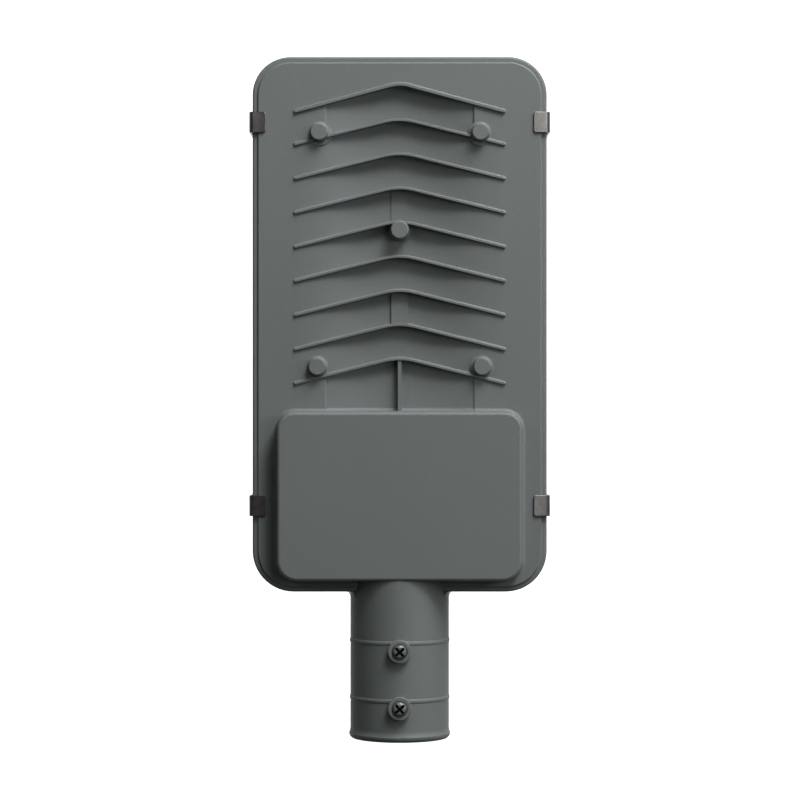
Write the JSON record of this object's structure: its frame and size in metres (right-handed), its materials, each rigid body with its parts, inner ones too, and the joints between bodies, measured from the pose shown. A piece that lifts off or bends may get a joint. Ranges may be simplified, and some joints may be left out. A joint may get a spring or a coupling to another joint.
{
  "type": "led street light head",
  "caption": "Flat street light head: finned grey casting with a driver box, a pole socket with clamping screws, and a glass-covered LED array underneath.",
  "frame": {"origin": "centre of the pole socket's mouth, on the socket's axis", "axes": "+Y from the socket's mouth to the nose of the head, +Z to the finned sky side, -Z to the glass, +X to the right as seen from above with the nose up"},
  "size_m": [0.1754, 0.3985, 0.0638],
  "materials": {
    "casting": "satin grey powder coat, faint blue-green tint",
    "clip_steel": "dark spring steel",
    "dark_screw": "black steel, satin",
    "cover_glass": "clear toughened glass",
    "silicone": "matt grey silicone",
    "thermal_sheet": "matt thermal pad",
    "board": "white coated aluminium-core board",
    "chip": "yellow phosphor",
    "lens": "clear moulded lens sheet",
    "driver_case": "satin",
    "terminal_plastic": "matt",
    "zinc_screw": "zinc plated",
    "brass_lug": "tinned brass",
    "gland_plastic": "black nylon",
    "gland_rubber": "matt",
    "white_plate": "matt white",
    "lead_red": "insulation",
    "lead_black": "insulation",
    "lead_brown": "insulation",
    "lead_blue": "insulation",
    "lead_green": "insulation"
  },
  "bodies": {
    "root": {"housing": "casting", "clip_front_left": "clip_steel", "clip_front_right": "clip_steel", "clip_rear_left": "clip_steel", "clip_rear_right": "clip_steel", "spigot_screw_front": "dark_screw", "spigot_screw_rear": "dark_screw", "cover_glass": "cover_glass", "glass_gasket": "silicone", "thermal_pad": "thermal_sheet", "led_board": "board", "led_board_screws": "zinc_screw", "led_chips": "chip", "lens_plate": "lens", "driver": "driver_case", "driver_screws": "zinc_screw", "terminal_block": "terminal_plastic", "terminal_screws": "zinc_screw", "terminal_block_screws": "zinc_screw", "earth_lug": "brass_lug", "earth_screw": "zinc_screw", "gland_body": "gland_plastic", "gland_seal": "gland_rubber", "gland_nut": "gland_plastic", "driver_cover_plate": "white_plate", "cover_plate_screws": "zinc_screw", "mains_lead_live": "lead_brown", "mains_lead_neutral": "lead_blue", "earth_lead": "lead_green", "dc_lead_positive": "lead_red", "dc_lead_negative": "lead_black"}
  },
  "joints": []
}
